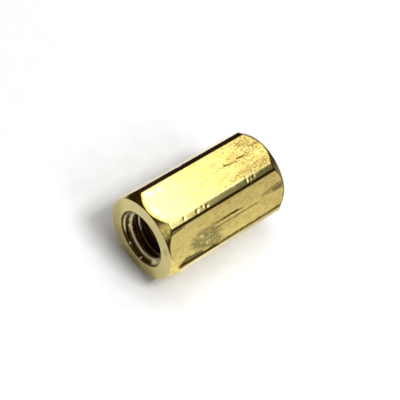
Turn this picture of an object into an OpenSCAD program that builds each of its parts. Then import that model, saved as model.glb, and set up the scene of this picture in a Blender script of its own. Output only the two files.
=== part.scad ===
/* [Hexagon bar] */
// Length from end face to end face
length = 8; // [4:0.5:40]
// Width across the flats
across_flats = 4.7; // [4.2:0.1:8]
// Width of the narrow land that replaces each sharp corner
corner_land = 0.43; // [0.1:0.01:0.8]

/* [Turned ends] */
// How far the rim of each end face lies inside the flats
rim_inset = 0.03; // [0.01:0.01:0.2]
// Slope of the end chamfer, in degrees from the axis
chamfer_angle = 30; // [15:1:60]

/* [Tapped bore] */
// Nominal diameter of the thread
thread_d = 3; // [1.6:0.1:3.4]
// Pitch of the thread
thread_pitch = 0.5; // [0.3:0.05:0.8]
// How much wider than the thread the countersunk mouth is
mouth_extra = 0.15; // [0.05:0.05:0.5]
// Included angle of the countersink, in degrees
countersink_angle = 90; // [60:5:120]

/* [Hidden] */
$fn = 96;
flat_r = across_flats / 2;
// The land's two edges lie on the flats, so they set the turned radius
land_edge = (across_flats / sqrt(3) - corner_land) / 2;
corner_r = sqrt(flat_r * flat_r + land_edge * land_edge);
face_r = flat_r - rim_inset;
chamfer_depth = (corner_r - face_r) / tan(chamfer_angle);
// The bore is drawn at the tapping drill's size, where the thread's crests stand
bore_r = (thread_d - thread_pitch) / 2;
mouth_r = (thread_d + mouth_extra) / 2;
countersink_depth = (mouth_r - bore_r) / tan(countersink_angle / 2);
// How far a cutting tool reaches past the surface that it enters
overrun = 0.5;
overrun_r = mouth_r + overrun * tan(countersink_angle / 2);

// Hexagon bar as it is cut to length, one flat down
module hexagon_bar() {
    rotate([0, 0, 30])
        cylinder(h = length, r = across_flats / sqrt(3), $fn = 6);
}

// What the lathe leaves: the corners taken down and a cone at each end
module turned_outline() {
    rotate_extrude()
        polygon([
            [0, 0],
            [face_r, 0],
            [corner_r, chamfer_depth],
            [corner_r, length - chamfer_depth],
            [face_r, length],
            [0, length]
        ]);
}

// Countersink at one end, widening past the end face
module countersink() {
    translate([0, 0, -overrun])
        cylinder(h = overrun + countersink_depth, r1 = overrun_r, r2 = bore_r);
}

// Through bore with a countersunk mouth at both ends
module tapped_bore() {
    translate([0, 0, -overrun])
        cylinder(h = length + 2 * overrun, r = bore_r);
    countersink();
    translate([0, 0, length])
        mirror([0, 0, 1])
            countersink();
}

// The standoff lies on one flat, with its bore along X
module hex_standoff() {
    color([0.80, 0.66, 0.30])
        translate([-length / 2, 0, flat_r])
            rotate([0, 90, 0])
                difference() {
                    intersection() {
                        hexagon_bar();
                        turned_outline();
                    }
                    tapped_bore();
                }
}

hex_standoff();
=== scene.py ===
import math
import bmesh
import bpy
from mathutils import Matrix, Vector


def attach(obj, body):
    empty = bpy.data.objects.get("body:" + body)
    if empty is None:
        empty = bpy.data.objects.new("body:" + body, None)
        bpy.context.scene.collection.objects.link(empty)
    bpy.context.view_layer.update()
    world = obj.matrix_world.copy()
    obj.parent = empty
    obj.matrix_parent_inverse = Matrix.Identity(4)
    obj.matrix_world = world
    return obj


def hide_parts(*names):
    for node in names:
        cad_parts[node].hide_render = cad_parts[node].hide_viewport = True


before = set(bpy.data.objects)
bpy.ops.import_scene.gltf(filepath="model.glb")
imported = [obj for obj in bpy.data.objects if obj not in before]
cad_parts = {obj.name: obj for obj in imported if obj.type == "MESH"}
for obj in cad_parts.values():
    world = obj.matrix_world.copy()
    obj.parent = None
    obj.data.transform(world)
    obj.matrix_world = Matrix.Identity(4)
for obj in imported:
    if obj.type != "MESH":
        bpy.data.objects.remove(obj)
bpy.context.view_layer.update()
mm = 0.001  # the sizes below are in millimetres
print("frame loaded:", len(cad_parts), "solid")


class Wire:
    # A socket in a node tree: arithmetic on wires adds Math nodes to the tree
    def __init__(self, tree, socket=None):
        self.tree = tree
        self.socket = socket

    def node(self, kind, settings=None, sockets=None, out=0):
        made = self.tree.nodes.new(kind)
        for name, value in (settings or {}).items():
            setattr(made, name, value)
        for name, value in (sockets or {}).items():
            if isinstance(value, Wire):
                self.tree.links.new(value.socket, made.inputs[name])
            else:
                made.inputs[name].default_value = value
        return Wire(self.tree, made.outputs[out] if made.outputs else None)

    def other(self, out):  # another output of the same node
        return Wire(self.tree, self.socket.node.outputs[out])

    def math(self, operation, *values):
        return self.node("ShaderNodeMath", {"operation": operation}, dict(enumerate(values)))

    def __add__(self, other):
        return self.math("ADD", self, other)

    def __radd__(self, other):
        return self.math("ADD", other, self)

    def __sub__(self, other):
        return self.math("SUBTRACT", self, other)

    def __rsub__(self, other):
        return self.math("SUBTRACT", other, self)

    def __mul__(self, other):
        return self.math("MULTIPLY", self, other)

    def __rmul__(self, other):
        return self.math("MULTIPLY", other, self)

    def __truediv__(self, other):
        return self.math("DIVIDE", self, other)

    def __pow__(self, other):
        return self.math("POWER", self, other)

    def __abs__(self):
        return self.math("ABSOLUTE", self)

    def clamp(self):
        return self.node("ShaderNodeClamp", None, {0: self})

    def most(self, other):
        return self.math("MAXIMUM", self, other)

    def rise(self, low, high):  # 0 at low, 1 at high, smooth between; low above high falls
        return self.node("ShaderNodeMapRange", {"interpolation_type": "SMOOTHSTEP"},
                         {0: self, 1: low, 2: high})

    def vector(self, x, y, z):
        return self.node("ShaderNodeCombineXYZ", None, {0: x, 1: y, 2: z})

    def noise(self, x, y, z, detail):
        return self.node("ShaderNodeTexNoise", None,
                         {"Vector": self.vector(x, y, z), "Scale": 1.0, "Detail": detail})

    def mix(self, first, second):  # colours, by this wire
        return self.node("ShaderNodeMix", {"data_type": "RGBA"}, {0: self, 6: first, 7: second}, out=2)


# Camera at the photograph's place

cameraView = {
    "place": (-30.4616, -22.1675, 51.8035),
    "turn": (36.3330, -10.0051, -40.6081),  # degrees about X, Y and Z
    "lens": 105.9367,
    "sensor": 36.0,
    "nearest": 1.0,  # what is closer isn't drawn
}


def makeCamera():
    lens = bpy.data.cameras.new("camera")
    lens.lens = cameraView["lens"]
    lens.sensor_width = cameraView["sensor"]
    lens.clip_start = cameraView["nearest"] * mm
    camera = bpy.data.objects.new("camera", lens)
    camera.location = [v * mm for v in cameraView["place"]]
    camera.rotation_euler = [math.radians(v) for v in cameraView["turn"]]
    bpy.context.collection.objects.link(camera)
    bpy.context.scene.camera = camera


makeCamera()
print("camera placed")


# Paper, lamps, and a room that only reflections see

studio = {
    "paperSize": 1200.0,
    "paperColour": (0.775, 0.825),  # least and most of its mottling
    "paperMottle": (0.3, 0.7),
    "paperDetail": 5.0,
    # light that the paper adds where the camera or the metal looks
    "paperLift": (0.40, 0.30),  # grows toward the first and stops at the second
    "liftReach": 4.12,  # from a line under the standoff
    "liftSpine": 2.77,  # half length of that line
    "liftSides": (0.32, 0.68, 0.91),  # its pace in the shade behind, in front, and past the near end
    "panelCentre": (40.3, 5.0, 120.0),
    "panelSize": (98.0, 182.0),
    "panelTurn": -7.4,  # degrees
    "panelLevel": 1.75,  # brightness of the lamp's face
    "windowCentre": (17.0, -61.0, 116.0),
    "windowSize": (34.0, 34.0),
    "windowLevel": 26.8,
    "fillLevel": 0.06,
    "backgroundLevel": 0.90,
    "roomProfile": [(18, 0.02), (30, 0.02), (60, 0.02), (120, 0.02),
                    (180, 60), (170, 140), (90, 210), (0.5, 230)],  # radius and height of each ring
    "roomSteps": 64,
    "roomCentre": (12.0, -22.0, 0.0),
    "roomFade": (16.0, 62.0),  # from that centre out, the paper's light gives way to the room's
    "roomPaper": (0.86, 0.86, 0.86, 1),
    "roomTint": (0.036, 0.018, 0.005, 1),
    "wallLevel": 0.45,
    "wallFoot": (0.06, 0.20),  # sines of the heights at which the walls turn pale
    # black flags that keep the walls out of some facets: toward, and degrees to the edge
    "flags": [((0.490, 0.868, 0.089), 27), ((-0.197, 0.952, 0.234), 22), ((-0.341, 0.729, 0.594), 15),
              ((0.490, -0.511, 0.707), 16), ((0.490, -0.780, 0.300), 14), ((-0.430, -0.860, 0.220), 21),
              ((0.490, 0.357, 0.796), 18), ((0.970, 0.120, 0.170), 22), ((-0.444, 0.357, 0.822), 15),
              ((-0.500, -0.050, 0.860), 16)],
    "flagEdge": 6.0,  # degrees, soft
    "card": ((-0.507, -0.506, 0.699), 13),  # pale, for the near chamfer
    "cardLevel": 0.82,
}


def emptyMaterial(name):
    material = bpy.data.materials.new(name)
    material.use_nodes = True
    material.node_tree.nodes.clear()
    return material, Wire(material.node_tree)


def meshObject(name, points, faces, material):
    mesh = bpy.data.meshes.new(name)
    mesh.from_pydata([[v * mm for v in point] for point in points], [], faces)
    mesh.materials.append(material)
    made = bpy.data.objects.new(name, mesh)
    bpy.context.collection.objects.link(made)
    return made


def seenRays(start):  # 1 where the camera looks, straight or by way of metal or glass
    rays = start.node("ShaderNodeLightPath", out="Is Camera Ray")
    return (rays + rays.other("Is Glossy Ray") + rays.other("Is Transmission Ray")).clamp()


def makePaper():
    material, start = emptyMaterial("whitePaper")
    spot = start.node("ShaderNodeTexCoord", out="Object")
    x = start.node("ShaderNodeSeparateXYZ", None, {0: spot})
    y = x.other(1)
    mottle = start.noise(x * (1 / mm), y * (1 / mm), 0.0, studio["paperDetail"]).rise(*studio["paperMottle"])
    dark, pale = ((tone, tone, tone, 1) for tone in studio["paperColour"])
    matt = start.node("ShaderNodeBsdfDiffuse", None, {"Color": mottle.mix(dark, pale)})
    behind, front, near = studio["liftSides"]
    spine = studio["liftSpine"] * mm
    past = (x - spine).most((x + spine) * -near).most(0.0)
    aside = (y * behind).most(y * -front)
    reach = (past * past + aside * aside) ** 0.5
    toward, most = studio["paperLift"]
    level = start.math("MINIMUM", reach.rise(0.0, studio["liftReach"] * mm) * toward, most)
    lift = start.node("ShaderNodeEmission", None, {"Color": seenRays(start) * level})
    both = start.node("ShaderNodeAddShader", None, {0: matt, 1: lift})
    start.node("ShaderNodeOutputMaterial", None, {"Surface": both})
    half = studio["paperSize"] / 2
    corners = [(-half, -half, 0), (half, -half, 0), (half, half, 0), (-half, half, 0)]
    meshObject("paper", corners, [(0, 1, 2, 3)], material)


def makeLamp(name):
    lamp = bpy.data.lights.new(name, "AREA")
    lamp.shape = "RECTANGLE"
    lamp.size, lamp.size_y = (v * mm for v in studio[name + "Size"])
    lamp.energy = studio[name + "Level"] * math.pi * lamp.size * lamp.size_y
    hung = bpy.data.objects.new(name, lamp)
    place = Vector(studio[name + "Centre"]) * mm
    hung.location = place
    hung.rotation_euler = place.to_track_quat("Z", "Y").to_euler()  # looks at the table's middle
    if name == "panel":  # hangs level
        hung.rotation_euler = (0, 0, math.radians(studio["panelTurn"]))
    bpy.context.collection.objects.link(hung)


def makeRoom():
    # lit paper, pale walls and black flags: they give the bright metal its pale and dark bands
    material, start = emptyMaterial("darkRoom")
    spot = start.node("ShaderNodeTexCoord", out="Object")
    aside = start.node("ShaderNodeVectorMath", {"operation": "DISTANCE"},
                       {0: spot, 1: [v * mm for v in studio["roomCentre"]]}, out="Value")
    near, far = (v * mm for v in studio["roomFade"])
    toward = start.node("ShaderNodeVectorMath", {"operation": "NORMALIZE"}, {0: spot})
    edge = studio["flagEdge"] / 2

    def spread(way, reach):  # 1 within so many degrees of a direction
        facing = start.node("ShaderNodeVectorMath", {"operation": "DOT_PRODUCT"},
                            {0: toward, 1: way}, out="Value")
        return facing.rise(math.cos(math.radians(reach + edge)), math.cos(math.radians(reach - edge)))

    dark = 0.0
    for way, reach in studio["flags"]:
        dark = spread(way, reach).most(dark)
    up = start.node("ShaderNodeSeparateXYZ", None, {0: toward}, out=2)
    wall = up.rise(*studio["wallFoot"]) * (1 - dark) * studio["wallLevel"]
    wall = wall.most(spread(*studio["card"]) * studio["cardLevel"])
    light = aside.rise(far, near).mix(studio["roomTint"], studio["roomPaper"])
    glow = start.node("ShaderNodeEmission", None, {"Color": wall.mix(light, (1, 1, 1, 1))})
    start.node("ShaderNodeOutputMaterial", None, {"Surface": glow})

    steps, profile = studio["roomSteps"], studio["roomProfile"]
    turns = [math.tau * i / steps for i in range(steps)]
    points = [(r * math.cos(turn), r * math.sin(turn), z) for r, z in profile for turn in turns]

    def corner(ring, i):
        return ring * steps + i % steps

    faces = [(corner(k, i), corner(k, i + 1), corner(k + 1, i + 1), corner(k + 1, i))
             for k in range(len(profile) - 1) for i in range(steps)]
    room = meshObject("darkRoom", points, faces, material)
    for rays in ("camera", "diffuse", "shadow", "transmission"):
        setattr(room, "visible_" + rays, False)


def makeWorld():
    world = bpy.data.worlds.new("room")
    world.use_nodes = True
    world.node_tree.nodes.clear()
    start = Wire(world.node_tree)
    fill = studio["fillLevel"]
    level = seenRays(start) * (studio["backgroundLevel"] - fill) + fill
    sky = start.node("ShaderNodeBackground", None, {"Color": (1, 1, 1, 1), "Strength": level})
    start.node("ShaderNodeOutputWorld", None, {"Surface": sky})
    bpy.context.scene.world = world
    bpy.context.scene.view_settings.view_transform = "Standard"


makePaper()
makeLamp("panel")
makeLamp("window")
makeRoom()
makeWorld()
print("studio set")


# Sizes of the standoff, and those that the finish needs

standoffSizes = {
    "Length": 8.0,
    "Across Flats": 4.7,
    "Corner Land": 0.43,
    "Rim Inset": 0.03,
    "Chamfer Angle": 30.0,
    "Thread Diameter": 3.0,
    "Thread Pitch": 0.5,
    "Thread Start": -0.04,
    "Mouth Extra": 0.15,
    "Edge Rounding": 0.04,
    "Flat Waviness": 0.0015,
    "Edge Wear": 0.012,
    "Wear Seed": 5.0,
}
flatRadius = standoffSizes["Across Flats"] / 2
halfLength = standoffSizes["Length"] / 2
mouthRadius = (standoffSizes["Thread Diameter"] + standoffSizes["Mouth Extra"]) / 2
faceRadius = flatRadius - standoffSizes["Rim Inset"]
chamferSlope = math.tan(math.radians(standoffSizes["Chamfer Angle"]))
landEdge = (standoffSizes["Across Flats"] / math.sqrt(3) - standoffSizes["Corner Land"]) / 2
landRadius = math.hypot(flatRadius, landEdge) * math.cos(math.radians(30) - math.atan2(landEdge, flatRadius))


# Brass finish: drawn flats, turned lands and ends, a tapped bore darkened with painted shade, the marks of
# use, and painted highlights and shade on the flats, lands and ends

brassLook = {
    "colour": (0.88, 0.71, 0.245, 1),
    "deepColour": (0.68, 0.52, 0.145, 1),
    # the pale colour below is painted highlight: on the top flat, and on the near half of the lower land
    "highlightColour": (0.95, 0.90, 0.62, 1),  # near end of the top flat
    "cutColour": (0.66, 0.57, 0.25, 1),  # end faces
    "lipColour": (0.69, 0.61, 0.38, 1),  # countersinks and the thread's crests
    # landColour: painted shade on the turned lands and the far chamfer, and the colour of the chamfers'
    # streaks
    "landColour": (0.35, 0.305, 0.108, 1),
    # painted highlight colour for the near end of the upper lands
    "litLandColour": (0.70, 0.62, 0.235, 1),  # near end of the front ridge
    "rimColour": (0.80, 0.52, 0.10, 1),  # near edge of the top flat
    # dullColour also darkens the near face: smudges, and painted shade toward its back and bottom
    "dullColour": (0.40, 0.335, 0.118, 1),  # rubbed patch
    # fleckColour: the rubbed patch's flecks, and a painted highlight low on the mouth's lip
    "fleckColour": (1.0, 0.92, 0.50, 1),  # in the rubbed patch, and low on the mouth's lip
    "glintColour": (0.95, 0.90, 0.66, 1),  # in the bore
    "speckColour": (0.44, 0.31, 0.095, 1),
    # stain colour: real stains and scratches, and painted shade on the far chamfer and the back land
    "stainAndShade": (0.17, 0.105, 0.020, 1),
    # tarnish colour: scratches and dark edge lines, and painted shade in the bore's first groove
    "tarnishAndShade": (0.055, 0.033, 0.005, 1),
    # boreColour: painted shade in the thread's grooves and deep in the bore, the countersink darker on its
    # lower side, and the torn crest
    "boreColour": (0.15, 0.085, 0.020, 1),
    "roughness": 0.12,
    "bumpStrength": 0.25,
    "bumpDistance": 0.01,
}
# painted in turn over the bar's own colour: mask, share, colour
brassLayers = [
    # pale: painted highlights on the top flat
    ("pale", 1.0, "highlightColour"),
    ("goldRim", 1.0, "rimColour"),
    # painted shade: the turned lands darker, the upper lands and the far chamfer most
    ("shadedLandsAndCone", 1.0, "landColour"),
    # a painted highlight on the near end of the upper lands, then patches where it gives way to the deeper
    # colour
    ("bright", 1.0, "litLandColour"),
    ("highlightGaps", 1.0, "deepColour"),
    # painted reflection of the paper on the near half of the lower land
    ("lowerLandSheen", 0.45, "highlightColour"),
    ("nearCone", 0.80, "deepColour"),
    ("streaks", 0.75, "landColour"),
    ("onFace", 1.0, "cutColour"),
    ("inBore", 1.0, "lipColour"),
    # smudges and painted shade on the near face
    ("smudgedAndShaded", 1.0, "dullColour"),
    ("rubbed", 1.0, "dullColour"),
    # painted shade on the far chamfer and the back land, the near chamfer darker toward the front, and the
    # rubbed patch's worn specks
    ("shadeAndWornSpecks", 1.0, "stainAndShade"),
    ("flecks", 1.0, "fleckColour"),
    ("pits", 1.0, "speckColour"),
    ("stained", 1.0, "stainAndShade"),
    ("blackened", 1.0, "tarnishAndShade"),
    # painted shade in the bore's grooves and depths, the countersink darker on its lower side, and the torn
    # crest
    ("boreShadeAndTear", 1.0, "boreColour"),
    # painted highlight low on the mouth's lip
    ("lowLipHighlight", 1.0, "fleckColour"),
    ("lipLine", 1.0, "tarnishAndShade"),
    # painted shade in the first groove, darker toward the bottom
    ("firstGrooveShade", 1.0, "tarnishAndShade"),
    ("shine", 1.0, "glintColour"),
]
# what each mask adds to the roughness, and to the height that the bump reads
brassRoughness = {"grain": 0.08, "turned": 0.05, "onFace": 0.24, "coned": 0.04, "inBore": 0.24,
                  "rubbed": 0.16, "pits": 0.20, "scratch": 0.20, "glints": 0.30}
brassRelief = {"drawnGrain": 0.5, "rings": 0.7, "crossLines": 0.6, "pits": -0.8, "scratch": -0.9,
               "rubbedSpecks": 0.9}
# cells in a millimetre along and across the bar, and detail
brassNoise = {
    "grain": (0.6, 16, 3.0),
    "mottle": (1.3, 3.4, 4.0),
    "ragged": (5, 9, 3.0),
    "smear": (2.4, 7, 4.0),
    "fine": (3.4, 7, 4.0),
    "broken": (3.2, 16, 2.0),
    "specks": (6, 11, 4.0),
    "crossLines": (26, 1.5, 2.0),
}
# how near a surface a point counts as on it: not at all, and wholly
skinZones = {
    "flat": (-0.10, -0.03),
    "land": (-0.02, -0.005),
    "face": (0.02, 0.005),
    "cone": (0.04, 0.015),
    "rim": (0.10, 0.02),
    "mouth": (0.02, -0.02),
    "behindFace": (0.0, 0.05),
}
# where along the bar a change starts, and where it is whole
barZones = {
    "nearHalf": (1.0, -1.0),
    "nearEnd": (-2.0, -3.0),
    "farEnd": (2.0, 3.0),
    "nearRim": (0.0, -2.0),
    "crease": (-1.4, -0.6),
    "speckled": (-0.2, 3.0),
    # the top flat painted paler toward its near end, a painted highlight
    "litTopEnd": (0.5, -3.5),
    # the top flat painted deeper toward its far end, a painted shade
    "shadedTopEnd": (-1.0, 4.0),
    "nearFront": (-1.2, -2.6),
    "farFront": (1.0, 3.5),
    # where the painted highlight on the upper lands starts and where it is whole
    "litRidge": (-0.9, -2.3),
    # span of the painted shade on the lands
    "shadedLandSpan": (-3.0, 3.0),
    # where the painted reflection on the lower land fades out
    "lowerLandSheen": (2.0, -2.0),
}


class BarSpot:
    # Where a point of the skin lies, in millimetres from the bar's middle, and what it is part of
    def __init__(self, start):
        spot = start.node("ShaderNodeTexCoord", out="Object")
        place = start.node("ShaderNodeVectorMath", {"operation": "SCALE"}, {0: spot, "Scale": 1 / mm})
        self.start = start
        self.made = {}
        self.x = start.node("ShaderNodeSeparateXYZ", None, {0: place})
        self.y = self.x.other(1)
        self.height = self.x.other(2) - flatRadius
        self.around = (self.y * self.y + self.height * self.height) ** 0.5
        self.depth = halfLength - abs(self.x)  # in from the nearer end
        self.offCone = abs(self.around - self.depth * chamferSlope - faceRadius)
        self.ragged = self.noise("ragged") - 0.5
        self.smear = self.noise("smear") - 0.5
        self.specks = self.noise("specks")

        # the two flats in view, and where the lathe and the tap have been
        self.topAcross, self.onTop = self.flat(90)
        self.frontAcross, self.onFront = self.flat(150)
        self.onFace = self.depth.rise(*skinZones["face"])
        mouth = (self.around - mouthRadius).rise(*skinZones["mouth"])
        self.inBore = mouth * self.depth.rise(*skinZones["behindFace"])
        self.coned = self.offCone.rise(*skinZones["cone"]) * (1 - self.onFace)
        self.turned = self.onLand(abs(self.outward(60)).most(abs(self.outward(120))).most(abs(self.y)))

    def noise(self, name):
        if name not in self.made:
            along, across, detail = brassNoise[name]
            self.made[name] = self.start.noise(self.x * along, self.y * across, self.height * across, detail)
        return self.made[name]

    def outward(self, degrees):  # distance from the axis in a direction: 0 is back, 90 is up
        turn = math.radians(degrees)
        return self.y * math.cos(turn) + self.height * math.sin(turn)

    def flat(self, degrees):  # across the flat, and how surely a point is on it
        return self.outward(degrees + 90), (self.outward(degrees) - flatRadius).rise(*skinZones["flat"])

    def onLand(self, away):
        return (away - landRadius).rise(*skinZones["land"])

    def along(self, zone):
        return self.x.rise(*barZones[zone])

    def inPatch(self, patch):  # part of the bore, by direction, distance from the axis and depth
        facing = (self.outward(patch["toward"]) / self.around).rise(*patch["facing"])
        return facing * self.around.rise(*patch["radius"]) * self.depth.rise(*patch["depth"])


# marks on the two flats in view: along from, across from, along to, across to, half width, strength
topScratches = [
    (0.15, -0.06, 1.20, -0.06, 0.030, 0.40),
    (1.12, -0.08, 1.60, -0.06, 0.065, 1.00),
    (1.40, 0.00, 2.10, 0.02, 0.040, 0.85),
    (1.98, -0.08, 2.75, -0.06, 0.070, 1.00),
    (2.60, -0.05, 3.50, -0.10, 0.035, 0.50),
    (1.55, -0.36, 2.30, -0.40, 0.035, 0.50),
    (0.40, -0.45, 1.10, -0.42, 0.030, 0.30),
    (3.20, -0.36, 3.90, -0.33, 0.060, 0.50),
]
frontScratches = [
    (-0.95, -0.18, 1.08, -0.12, 0.040, 0.70),
    (-0.45, -0.165, 0.80, -0.14, 0.080, 1.00),
    (-1.05, 0.10, 2.10, 0.13, 0.045, 0.70),
    (2.25, -0.12, 3.10, -0.18, 0.055, 0.45),
    (2.90, -0.16, 3.95, -0.30, 0.055, 0.70),
    (3.05, -0.04, 3.98, -0.12, 0.085, 0.75),
    (3.20, 0.06, 3.95, 0.02, 0.060, 0.65),
    (3.40, 0.33, 3.72, 0.31, 0.035, 0.50),
    (-3.65, 0.98, -0.90, 1.05, 0.100, 1.00),
    (-3.55, 1.00, -2.95, 0.80, 0.110, 0.85),
    (-3.25, 0.80, -1.90, 0.96, 0.140, 0.80),
    (-4.05, -0.92, -2.70, -1.08, 0.120, 0.75),
    (0.86, -0.77, 0.98, -0.90, 0.050, 0.80),
    (-0.05, 0.50, 0.08, 0.60, 0.030, 0.50),
    (-1.15, 0.82, -0.95, 0.86, 0.035, 0.60),
]
# patches on them: along, across, half length, half width, strength
topClusters = [
    (3.0, -0.68, 0.55, 0.34, 0.75),
    (3.55, -0.36, 0.45, 0.12, 0.75),
    (2.4, 0.86, 1.5, 0.28, 0.92),
    (2.2, -0.10, 1.3, 0.26, 0.40),
    (0.3, 1.00, 1.0, 0.10, 0.40),
    (2.3, 0.25, 0.4, 0.14, 0.45),
]
# painted highlight spots near the near end of the top flat
topHighlightSpots = [
    (-3.18, -0.82, 0.27, 0.17, 0.95),
    (-2.58, -0.76, 0.20, 0.13, 0.85),
    (-3.56, 0.22, 0.13, 0.55, 0.70),
]
frontRubbed = [
    (-1.62, 0.34, 1.00, 0.52, 0.95),
    (-1.30, -0.12, 1.00, 0.10, 0.75),
    (3.40, -0.10, 0.95, 0.24, 0.45),
    (-1.20, 0.76, 0.58, 0.28, 0.95),
]
frontFlecks = [
    (-1.89, 0.11, 0.10, 0.08, 1.0),
    (-1.74, 0.15, 0.04, 0.05, 0.7),
    (-1.98, 0.44, 0.05, 0.04, 0.8),
    (-1.62, 0.60, 0.06, 0.06, 0.9),
    (-1.48, 0.54, 0.05, 0.04, 0.7),
    (-1.37, 0.24, 0.05, 0.05, 0.7),
]
flatWear = {
    "strokeEnds": (0.05, 0.20),  # a scratch starts this far outside its end, and is whole this far inside
    "strokeRagged": 0.11,
    "strokeCore": 0.3,  # share of its width that is full strength
    "brokenEdge": (0.15, 0.36),
    "frontUnbroken": 0.4,
    "clusterSoft": 0.35,
    "speckledShare": 0.36,  # specks that the far part of the top flat has all over
    "speckCrowding": 0.16,
    "speckEdge": (0.61, 0.72),
    "speckGain": 3.0,
    "speckStrength": (0.72, 1.5),  # even, and with the raggedness
    "rubbedRagged": 1.6,
    "rubbedSoft": 0.30,
    "rubbedStrength": (0.88, 2.6),
    "wornEdge": (0.52, 0.66),
    "wornShare": 0.6,
    "fleckRagged": 2.4,
    "fleckSoft": 0.5,
    "lowEdge": (0.14, 0.05),  # dark line along the foot of the front flat: its edge, its middle
    "lowEdgeInset": 0.06,
    "lowEdgeRagged": 0.1,
    "lowEdgeStrength": 0.95,
    "highEdge": (0.13, 0.04),  # and under the front ridge
    "highEdgeInset": 0.01,
    # a painted highlight line on the top flat beside the front ridge
    "crease": (0.06, 0.01),  # pale line on the top flat beside that ridge
    "creaseInset": 0.02,
    "paleRagged": 3.0,
    "paleSoft": 0.5,
    "litTopShare": 0.30,
}


def blots(x, across, ragged, patches, soft):
    total = 0.0
    for along, at, long, wide, strength in patches:
        ahead, aside = (x - along) / long, (across - at) / wide
        reach = (ahead * ahead + aside * aside) ** 0.5 + ragged
        total = (reach.rise(1 + soft, 1 - soft) * strength).most(total)
    return total


def strokes(x, across, ragged, broken, lines):
    outside, inside = flatWear["strokeEnds"]
    total = 0.0
    for fromX, fromAcross, toX, toAcross, width, strength in lines:
        line = (x - fromX) * ((toAcross - fromAcross) / (toX - fromX)) + fromAcross
        ends = x.rise(fromX - outside, fromX + inside) * x.rise(toX + outside, toX - inside)
        off = abs(across - line + ragged * flatWear["strokeRagged"])
        thick = off.rise(width, width * flatWear["strokeCore"])
        total = (thick * ends * broken * strength).most(total)
    return total


def flatMarks(bar):
    x, ragged, wear = bar.x, bar.ragged, flatWear
    broken = bar.noise("broken").rise(*wear["brokenEdge"])
    whole = wear["frontUnbroken"]
    topScratch = strokes(x, bar.topAcross, ragged, broken, topScratches) * bar.onTop
    frontScratch = strokes(x, bar.frontAcross, ragged, broken * (1 - whole) + whole, frontScratches)
    frontScratch = frontScratch * bar.onFront

    crowd = blots(x, bar.topAcross, ragged, topClusters, wear["clusterSoft"])
    crowd = (crowd + bar.along("speckled") * wear["speckledShare"]) * bar.onTop
    even, uneven = wear["speckStrength"]
    pits = (bar.specks + crowd * wear["speckCrowding"]).rise(*wear["speckEdge"])
    pits = pits * (crowd * wear["speckGain"]).clamp() * (ragged * uneven + even)

    even, uneven = wear["rubbedStrength"]
    rubbed = blots(x, bar.frontAcross, bar.smear * wear["rubbedRagged"], frontRubbed, wear["rubbedSoft"])
    rubbed = rubbed * bar.onFront * (bar.smear * uneven + even)
    worn = bar.specks.rise(*wear["wornEdge"]) * rubbed.clamp() * wear["wornShare"]
    flecks = blots(x, bar.frontAcross, ragged * wear["fleckRagged"], frontFlecks, wear["fleckSoft"])

    low = abs(bar.frontAcross - landEdge + wear["lowEdgeInset"] + ragged * wear["lowEdgeRagged"])
    lowEdge = low.rise(*wear["lowEdge"]) * bar.onFront * (ragged + wear["lowEdgeStrength"])
    high = abs(bar.frontAcross + landEdge - wear["highEdgeInset"])
    highEdge = high.rise(*wear["highEdge"]) * bar.onFront
    # painted highlights on the top flat: a line beside the front ridge, bright spots, and a paler near end
    beside = abs(bar.topAcross - landEdge + wear["creaseInset"])
    crease = beside.rise(*wear["crease"]) * bar.onTop * bar.along("crease")
    pale = blots(x, bar.topAcross, ragged * wear["paleRagged"], topHighlightSpots, wear["paleSoft"])
    pale = pale.most(bar.along("litTopEnd") * wear["litTopShare"]) * bar.onTop
    return {
        "pits": pits,
        "scratch": topScratch.most(frontScratch),
        "rubbed": rubbed,
        "rubbedSpecks": bar.specks * rubbed,
        "worn": worn,
        "flecks": flecks * bar.onFront,
        "stained": lowEdge.clamp().most(topScratch),
        "blackened": frontScratch.most(highEdge),
        "pale": pale.most(crease),
    }


# end faces, chamfers and lands; the smudges and the painted shade toward the back and the bottom of the near
# face: across, up, half width, half height, strength
faceSmudgesAndShade = [
    (-1.74, 0.98, 0.16, 0.24, 0.75),
    (1.72, -1.30, 0.72, 0.76, 0.90),
    (2.00, -0.30, 0.35, 1.30, 0.75),
    (1.80, 0.10, 0.16, 0.14, 0.70),
    (0.50, -2.00, 1.00, 0.36, 0.85),
    (-0.95, -1.75, 0.60, 0.42, 0.55),
    (-1.10, 1.60, 0.90, 0.50, 0.22),
]
endWear = {
    "darkeningRagged": 2.0,
    "darkeningSoft": 0.6,
    "cloudCells": 5.0,
    "cloudDetail": 4.0,
    "cloudEdge": (0.48, 0.75),
    "cloudShare": 0.35,
    "ringCells": 22.0,  # turning marks, round the axis
    "ringShift": 3.0,
    "ringDetail": 2.0,
    "nearConeHeight": (0.5, 1.1),
    "streakCells": (7, 4, 3.0),  # down the chamfer, round it, and detail
    "streakToward": 30,
    "streakEdge": (0.48, 0.57),
    "streakHeight": (0.2, 1.0),
    "ridgeRagged": 2.0,
    "gapEdge": (0.50, 0.62),
    "gapShare": 0.7,
    # shares of painted shade on the lands and on the far chamfer
    "landShadeShare": 0.6,
    "coneShadeShare": 0.8,
    # painted shade on the far chamfer and the back land, and a darker part of the near chamfer's front
    "farConeShade": 0.85,
    "nearBrown": 0.45,
    "brownOutward": (2.25, 2.38),
    "brownHeight": (0.7, 1.2),
    "backLandShade": 0.5,
}


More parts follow.
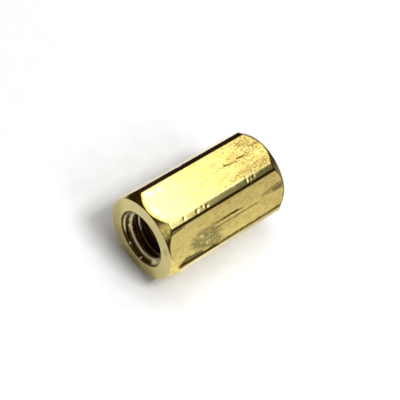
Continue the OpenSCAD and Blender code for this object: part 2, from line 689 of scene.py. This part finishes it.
def endMarks(bar):
    start, y, height, wear = bar.start, bar.y, bar.height, endWear
    # smudges and painted shade on the near face, darker toward its back and bottom
    faceDarkening = blots(y, height, bar.ragged * wear["darkeningRagged"], faceSmudgesAndShade, wear["darkeningSoft"])
    cells = wear["cloudCells"]
    clouds = start.noise(y * cells, height * cells, bar.x, wear["cloudDetail"]).rise(*wear["cloudEdge"])
    smudgedAndShaded = (faceDarkening * bar.along("nearHalf")).most(clouds * wear["cloudShare"]) * bar.onFace
    rings = start.noise(bar.around * wear["ringCells"], 0.0, bar.x * wear["ringShift"], wear["ringDetail"])

    nearCone = bar.coned * bar.along("nearEnd")
    farCone = bar.coned * bar.along("farEnd")
    down, turn, detail = wear["streakCells"]
    streaks = start.noise(bar.depth * down, bar.outward(wear["streakToward"]) * turn, 0.0, detail)
    streaks = streaks.rise(*wear["streakEdge"]) * bar.coned * height.rise(*wear["streakHeight"])
    frontCone = bar.outward(150).rise(*wear["brownOutward"]) * height.rise(*wear["brownHeight"])
    # painted shade on the far chamfer and the back land; the near chamfer darker toward the front
    brown = (farCone * wear["farConeShade"]).most(nearCone * frontCone * wear["nearBrown"])

    upperLand = bar.onLand(bar.outward(120).most(bar.outward(60)))
    # painted highlight on the near end of the upper lands, broken in patches by the deeper colour
    bright = upperLand * (bar.x + bar.ragged * wear["ridgeRagged"]).rise(*barZones["litRidge"])
    # painted shade on the lands and the far chamfer
    shadedLandsAndCone = (bar.turned * bar.along("shadedLandSpan") * wear["landShadeShare"]).most(farCone * wear["coneShadeShare"])
    return {
        "smudgedAndShaded": smudgedAndShaded,
        "rings": rings * bar.onFace,
        "crossLines": bar.noise("crossLines") * bar.turned.most(bar.coned),
        "nearCone": nearCone * height.rise(*wear["nearConeHeight"]),
        "streaks": streaks,
        "goldRim": bar.offCone.rise(*skinZones["rim"]) * bar.onTop * bar.along("nearRim"),
        "shadedLandsAndCone": shadedLandsAndCone.most(upperLand),
        "bright": bright,
        "highlightGaps": bright * bar.specks.rise(*wear["gapEdge"]) * wear["gapShare"],
        # painted reflection: the lower land's near half made paler
        "lowerLandSheen": bar.onLand(bar.outward(180)) * bar.along("lowerLandSheen"),
        "shadeAndWornSpecks": brown.most(bar.onLand(bar.outward(60)) * wear["backLandShade"]),
    }


# the bore; its glints: across, up, half width, half height, strength
boreFlecks = [
    (0.69, -1.28, 0.09, 0.07, 1.0),
    (-0.23, -1.49, 0.06, 0.10, 1.0),
    (0.95, -1.02, 0.06, 0.06, 0.7),
]
boreWear = {
    # directions are in degrees, 0 is back and 90 is up; each pair goes from none to whole
    "lowCone": {"toward": -85, "facing": (0.50, 0.74), "radius": (1.30, 1.38), "depth": (0.02, 0.06)},
    # a painted highlight low on the mouth's lip, toward the front
    "lowLipHighlight": {"toward": -152, "facing": (0.90, 0.97), "radius": (1.30, 1.40), "depth": (0.50, 0.30)},
    "tornCrest": {"toward": -50, "facing": (0.62, 0.88), "radius": (1.42, 1.36), "depth": (0.30, 0.45)},
    "tornEnd": (1.6, 1.3),
    "tornEdge": (-0.11, 0.01),
    "tornShare": 0.9,
    "lipLine": (0.075, 0.03),
    "lipInset": 0.01,
    "lipRagged": 0.06,
    "lipBack": (-0.6, 0.6),
    "lipLow": (-0.2, -0.9),
    "grooveDepth": (0.10, 0.22),
    "grooveRadius": (1.36, 1.43),
    "grooveRagged": 0.34,
    "firstDepth": (0.75, 0.55),
    "firstHeight": (1.0, 0.3),
    "firstStrength": (0.75, 1.2),  # even, and with the raggedness
    # depths over which the painted shade deepens into the bore
    "shadeDepth": (0.45, 0.85),
    "glintSoft": 0.4,
    "glintDepth": (0.16, 0.12),
    "shineToward": -28,
    "shineOutward": (1.18, 1.22),
    "shineRadius": (1.31, 1.27),
    "shineDepth": 0.97,
    "shineReach": (0.15, 0.08),
}


def boreMarks(bar):
    ragged, around, depth, wear = bar.ragged, bar.around, bar.depth, boreWear
    grooves = depth.rise(*wear["grooveDepth"])
    grooves = grooves * (around + ragged * wear["grooveRagged"]).rise(*wear["grooveRadius"])
    even, uneven = wear["firstStrength"]
    # painted shade in the first groove near the mouth, darker toward the bottom
    firstGrooveShade = grooves * depth.rise(*wear["firstDepth"]) * bar.height.rise(*wear["firstHeight"])
    torn = bar.inPatch(wear["tornCrest"]) * depth.rise(*wear["tornEnd"]) * ragged.rise(*wear["tornEdge"])
    # painted shade in the grooves and deep in the bore, and the countersink darker on its lower side
    boreShadeAndTear = grooves.most(depth.rise(*wear["shadeDepth"])).most(bar.inPatch(wear["lowCone"]))
    lip = abs(around - mouthRadius + wear["lipInset"] + ragged * wear["lipRagged"]).rise(*wear["lipLine"])
    glints = blots(bar.y, bar.height, ragged, boreFlecks, wear["glintSoft"])
    glints = bar.inBore * glints * (bar.x + halfLength).rise(*wear["glintDepth"])
    shine = around.rise(*wear["shineRadius"]) * bar.outward(wear["shineToward"]).rise(*wear["shineOutward"])
    shine = shine * abs(depth - wear["shineDepth"]).rise(*wear["shineReach"])
    return {
        "firstGrooveShade": bar.inBore * firstGrooveShade * (ragged * uneven + even),
        "boreShadeAndTear": bar.inBore * boreShadeAndTear.most(torn * wear["tornShare"]),
        # painted highlight low on the mouth's lip
        "lowLipHighlight": bar.inBore * bar.inPatch(wear["lowLipHighlight"]),
        "lipLine": lip * bar.y.rise(*wear["lipBack"]).most(bar.height.rise(*wear["lipLow"])),
        "glints": glints,
        "shine": glints.most(shine),
    }


toneShares = {
    # cloudiness of the drawn bar: noise, its rise, and its share of the deeper colour
    "clouds": [("mottle", (0.42, 0.62), 0.45), ("fine", (0.45, 0.62), 0.52), ("grain", (0.40, 0.70), 0.20)],
    "nearFrontAcross": (0.3, -0.5),
    "nearFrontEven": 0.75,
    "farFrontAcross": (-0.2, 0.6),
    "farFrontDeep": 0.35,
    # share of painted shade toward the top flat's far end
    "farTopShade": 0.28,
}


def barTone(bar):  # 0 is the bar's colour, 1 the deeper one
    cloudy = sum(bar.noise(name).rise(*edge) * share for name, edge, share in toneShares["clouds"])
    near = bar.onFront * bar.along("nearFront") * bar.frontAcross.rise(*toneShares["nearFrontAcross"])
    far = bar.onFront * bar.along("farFront") * bar.frontAcross.rise(*toneShares["farFrontAcross"])
    tone = cloudy * (1 - near * toneShares["nearFrontEven"]) + far * toneShares["farFrontDeep"]
    # the deeper colour toward the top flat's far end is painted shade
    return tone + bar.along("shadedTopEnd") * bar.onTop * toneShares["farTopShade"]


def makeBrass():
    material, start = emptyMaterial("wornBrass")
    bar = BarSpot(start)
    grain = bar.noise("grain")
    masks = {"grain": grain, "drawnGrain": grain * (1 - bar.onFace) * (1 - bar.turned), "turned": bar.turned,
             "onFace": bar.onFace, "coned": bar.coned, "inBore": bar.inBore}
    for marks in (flatMarks(bar), endMarks(bar), boreMarks(bar)):
        masks.update(marks)
    # the rubbed patch's worn specks join that painted shade
    masks["shadeAndWornSpecks"] = masks["worn"].most(masks["shadeAndWornSpecks"])
    colour = barTone(bar).mix(brassLook["colour"], brassLook["deepColour"])
    for name, share, paint in brassLayers:
        colour = (masks[name] * share).mix(colour, brassLook[paint])
    roughness = brassLook["roughness"] + sum(masks[name] * more for name, more in brassRoughness.items())
    relief = sum(masks[name] * more for name, more in brassRelief.items())
    bump = start.node("ShaderNodeBump", None, {
        "Strength": brassLook["bumpStrength"], "Distance": brassLook["bumpDistance"] * mm, "Height": relief})
    shader = start.node("ShaderNodeBsdfPrincipled", None, {
        "Base Color": colour, "Roughness": roughness.clamp(), "Metallic": 1.0, "Normal": bump})
    start.node("ShaderNodeOutputMaterial", None, {"Surface": shader})
    print("brass mixed:", len(material.node_tree.nodes), "nodes")
    return material


# Standoff: one skin, wrapped round the bore's axis in columns and along its profile in rows

standoffGrid = {
    "landColumns": 3,
    "edgeColumns": 5,
    "flatColumns": 20,
    "edgeSpan": 1.6,  # degrees either side of a land's edge
    "lip": 0.05,  # how far down the countersink the outer skin starts
    "chamferRun": 0.30,  # length that the chamfer is given where rows are spaced out
    "flatStart": 0.06,  # first stretch of the flat, past the chamfer's edge
    # rows on the countersink, its edge, the end face, its edge, the chamfer, its edge,
    # the flat's first stretch, and the rest of it to the middle
    "outsideRows": (3, 5, 8, 6, 5, 6, 2, 54),
    # the thread's section, from the middle of a groove on: rows, shares of the pitch
    "threadLegs": [(1, 0.08), (2, 0.185), (3, 0.15), (1, 0.17), (3, 0.15), (2, 0.185), (1, 0.08)],
    "threadFlank": (0.34, 0.075),  # where the flank meets the crest and the root, from the groove's middle
    "crestRounding": 0.25,  # share of the thread's height
    "coneRounding": 0.01,  # where the thread runs out into the countersink
    "spareTurns": 3,  # so that every column of the thread reaches past both ends
    "gather": 0.006,  # rows past the outer skin's start, or this close to it, move onto it
    "weld": 0.0006,  # joins the two skins there
    "hair": 0.01,  # keeps whole numbers of steps from being rounded down
}
standoffWear = {
    "chipReach": 0.09,  # from an edge
    "chipCells": 2.2,
    "chipStep": 5.3,  # in the noise, from one edge to the next
    "chipDetail": 3.0,
    "chipEdge": (0.56, 0.74),
    "nickSlant": 0.35,
    "waveCells": (0.5, 1.1),  # along and across
    "waveStep": 3.7,  # in the noise, from one flat to the next
    "waveDetail": 1.0,
    "waveSeed": 7.0,
    "fade": 0.02,  # the wear is whole from this share of the flat on
}
ridgeNicks = [  # along, degrees round the axis, half length, half width, depth
    (-2.62, 118.5, 0.10, 0.22, 0.016),
    (-1.78, 119.5, 0.09, 0.24, 0.022),
    (-1.38, 118.0, 0.07, 0.20, 0.018),
    (-1.14, 120.5, 0.10, 0.18, 0.020),
    (1.66, 118.5, 0.09, 0.26, 0.024),
    (1.88, 119.5, 0.06, 0.22, 0.018),
    (2.16, 118.0, 0.08, 0.24, 0.018),
]


def walk(step, legs):
    # goes along the legs (steps, distance) in turn, evenly within each
    gone, begun = 0, 0
    for count, distance in legs:
        gone = ((step - begun) / count).clamp() * distance + gone
        begun += count
    return gone


def makeTree():
    tree = bpy.data.node_groups.new("turnedStandoff", "GeometryNodeTree")
    tree.interface.new_socket("Geometry", in_out="OUTPUT", socket_type="NodeSocketGeometry")
    for name in standoffSizes:
        tree.interface.new_socket(name, in_out="INPUT", socket_type="NodeSocketFloat")
    tree.interface.new_socket("Finish", in_out="INPUT", socket_type="NodeSocketMaterial")
    start = Wire(tree)
    given = start.node("NodeGroupInput")
    size = {name: given.other(name) for name in standoffSizes}

    half = size["Length"] * 0.5
    flat = size["Across Flats"] * 0.5
    edge = (size["Across Flats"] * (1 / math.sqrt(3)) - size["Corner Land"]) * 0.5
    corner = (flat * flat + edge * edge) ** 0.5
    face = flat - size["Rim Inset"]
    mouth = (size["Thread Diameter"] + size["Mouth Extra"]) * 0.5
    crest = (size["Thread Diameter"] - size["Thread Pitch"]) * 0.5
    root = size["Thread Diameter"] * 0.5
    flatHalf = start.math("ARCTAN2", edge, flat)
    soft = size["Edge Rounding"]
    lip, hair = standoffGrid["lip"], standoffGrid["hair"]

    # columns: each sixth of a turn has half a land, an edge, the flat, an edge and half a land
    sixth = math.radians(60)
    spread = math.radians(standoffGrid["edgeSpan"])
    landCount, edgeCount, flatCount = (standoffGrid[n + "Columns"] for n in ("land", "edge", "flat"))
    perSixth = 2 * landCount + 2 * edgeCount + flatCount
    landSpan = sixth / 2 - spread - flatHalf
    columns = 6 * perSixth + 1
    columnLegs = [(landCount, landSpan), (edgeCount, 2 * spread), (flatCount, 2 * flatHalf - 2 * spread),
                  (edgeCount, 2 * spread), (landCount, landSpan)]

    def turned(column):  # which flat, the angle from its middle, and the angle round the axis
        number = start.math("FLOOR", (column + hair) / perSixth)
        lean = walk(column - number * perSixth, columnLegs) - sixth / 2
        return number, lean, number * sixth + lean + math.radians(90)

    def skin(rows, place):
        grid = start.node("GeometryNodeMeshGrid", None, {"Vertices X": columns, "Vertices Y": rows})
        index = start.node("GeometryNodeInputIndex")
        column = start.math("FLOOR", (index + 0.5) / rows)
        row = index - column * rows
        number, lean, turn = turned(column)
        along, radius = place(row, number, lean, turn)
        spot = start.vector(along * mm, radius * start.math("COSINE", turn) * mm,
                            (flat + radius * start.math("SINE", turn)) * mm)
        return start.node("GeometryNodeSetPosition", None, {"Geometry": grid, "Position": spot})

    # outside: from one countersink over the end face, the chamfer and the flat to the other end
    ring = faceRadius - mouthRadius
    chamfer, flatStart = standoffGrid["chamferRun"], standoffGrid["flatStart"]
    rounding = standoffSizes["Edge Rounding"]
    spans = (lip, ring, chamfer, halfLength - chamfer)
    corners = (lip, lip + ring, lip + ring + chamfer)
    distances = (lip - rounding, 2 * rounding, ring - 2 * rounding, 2 * rounding, chamfer - 2 * rounding,
                 2 * rounding, flatStart, halfLength - chamfer - rounding - flatStart)
    rowLegs = list(zip(standoffGrid["outsideRows"], distances))
    halfRows = sum(standoffGrid["outsideRows"])

    def wearAt(number, lean, turn, along):  # worn edges, struck nicks and the drawn bar's faint waves
        wear, seed = standoffWear, size["Wear Seed"]
        aside = (abs(lean) - flatHalf) * corner
        which = number * 2 + start.math("GREATER_THAN", lean, 0.0)
        chips = start.node("ShaderNodeTexNoise", {"noise_dimensions": "4D"}, {
            "Vector": start.vector(along * wear["chipCells"], which * wear["chipStep"], 0.0), "W": seed,
            "Scale": 1.0, "Detail": wear["chipDetail"]})
        loss = abs(aside).rise(wear["chipReach"], 0.0) * chips.rise(*wear["chipEdge"]) * size["Edge Wear"]
        degrees = turn * math.degrees(1)
        for at, angle, length, width, deep in ridgeNicks:
            over = (degrees - angle) * math.radians(1) * corner
            near = (along - at + over * wear["nickSlant"]) / length
            loss = loss + (1 - abs(near) - abs(over) / width).most(0.0) * deep
        alongCells, acrossCells = wear["waveCells"]
        waves = start.node("ShaderNodeTexNoise", {"noise_dimensions": "4D"}, {
            "Vector": start.vector(along * alongCells, aside * acrossCells, number * wear["waveStep"]),
            "W": seed + wear["waveSeed"], "Scale": 1.0, "Detail": wear["waveDetail"]})
        return loss + (waves - 0.5) * size["Flat Waviness"]

    def outside(row, number, lean, turn):
        side = row - halfRows
        gone = walk(halfRows - abs(side), rowLegs)
        past = [start.math("SMOOTH_MAX", gone - at, 0.0, soft) for at in corners]  # each corner, eased in
        sink, over, down, level = ((before - after) / span for before, after, span
                                   in zip([gone] + past, past + [0.0], spans))  # shares of the spans
        land = corner * start.math("COSINE", sixth / 2 - flatHalf)
        section = start.math("SMOOTH_MIN", flat / start.math("COSINE", lean),
                             land / start.math("COSINE", sixth / 2 - abs(lean)), soft * 0.5)
        depth = (section - face) / start.math("TANGENT", size["Chamfer Angle"] * math.radians(1))
        inward = lip * (1 - sink) + depth * down + (half - depth) * level
        along = start.math("SIGN", side) * (half - inward)
        radius = mouth - lip + lip * sink + (face - mouth) * over + (section - face) * down
        loss = wearAt(number, lean, turn, along) * level.rise(0.0, standoffWear["fade"])
        return along, radius - loss

    # inside: rows follow the helix, and past the ends they gather on the countersink
    threadLegs = standoffGrid["threadLegs"]
    perTurn = sum(count for count, share in threadLegs)
    turns = math.ceil(standoffSizes["Length"] / standoffSizes["Thread Pitch"]) + standoffGrid["spareTurns"]
    crestFrom, rootFrom = standoffGrid["threadFlank"]

    def inside(row, number, lean, turn):
        count = start.math("FLOOR", (row + hair) / perTurn)
        share = walk(row - count * perTurn, threadLegs)
        wound = count - turns / 2 + share + turn * (1 / math.tau)
        along = (wound - size["Thread Start"]) * size["Thread Pitch"]
        reach = half - lip
        beyond = start.math("GREATER_THAN", abs(along), reach - standoffGrid["gather"])
        along = along + (start.math("SIGN", along) * reach - along) * beyond
        up = (crestFrom - abs(share - start.math("ROUND", share))) / (crestFrom - rootFrom)
        groove = start.math("SMOOTH_MAX", up, 0.0, standoffGrid["crestRounding"]).clamp()
        thread = crest + (root - crest) * groove
        cone = mouth - (half - abs(along))
        return along, start.math("SMOOTH_MAX", thread, cone, standoffGrid["coneRounding"])

    shell = start.node("GeometryNodeJoinGeometry")
    for part in (skin(2 * halfRows + 1, outside), skin(turns * perTurn + 1, inside)):
        tree.links.new(part.socket, shell.socket.node.inputs[0])
    weld = standoffGrid["weld"] * mm
    closed = start.node("GeometryNodeMergeByDistance", None, {"Geometry": shell, "Distance": weld})
    smooth = start.node("GeometryNodeSetShadeSmooth", None, {"Geometry": closed})
    real = start.node("GeometryNodeRealizeInstances", None, {"Geometry": smooth})
    coated = start.node("GeometryNodeSetMaterial", None,
                        {"Geometry": real, "Material": given.other("Finish")})
    start.node("NodeGroupOutput", None, {"Geometry": coated})
    return tree


def makeStandoff():
    brass = makeBrass()
    tree = makeTree()
    blank = bpy.data.objects.new("blank", bpy.data.meshes.new("blank"))
    bpy.context.collection.objects.link(blank)
    modifier = blank.modifiers.new("turned", "NODES")
    modifier.node_group = tree
    for item in tree.interface.items_tree:
        if item.in_out == "INPUT":
            modifier[item.identifier] = brass if item.name == "Finish" else standoffSizes[item.name]
    ready = blank.evaluated_get(bpy.context.evaluated_depsgraph_get())
    mesh = bpy.data.meshes.new_from_object(ready)
    bpy.data.objects.remove(blank)
    work = bmesh.new()
    work.from_mesh(mesh)
    bmesh.ops.recalc_face_normals(work, faces=work.faces)
    gaps = [e for e in work.edges if len(e.link_faces) != 2]
    print("standoff skin:", len(work.verts), "points,", len(work.faces), "faces,", len(gaps), "open edges")
    work.to_mesh(mesh)
    work.free()
    standoff = bpy.data.objects.new("brassStandoff", mesh)
    bpy.context.collection.objects.link(standoff)
    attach(standoff, "root")
    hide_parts("hex_standoff")


makeStandoff()
print("standoff made")
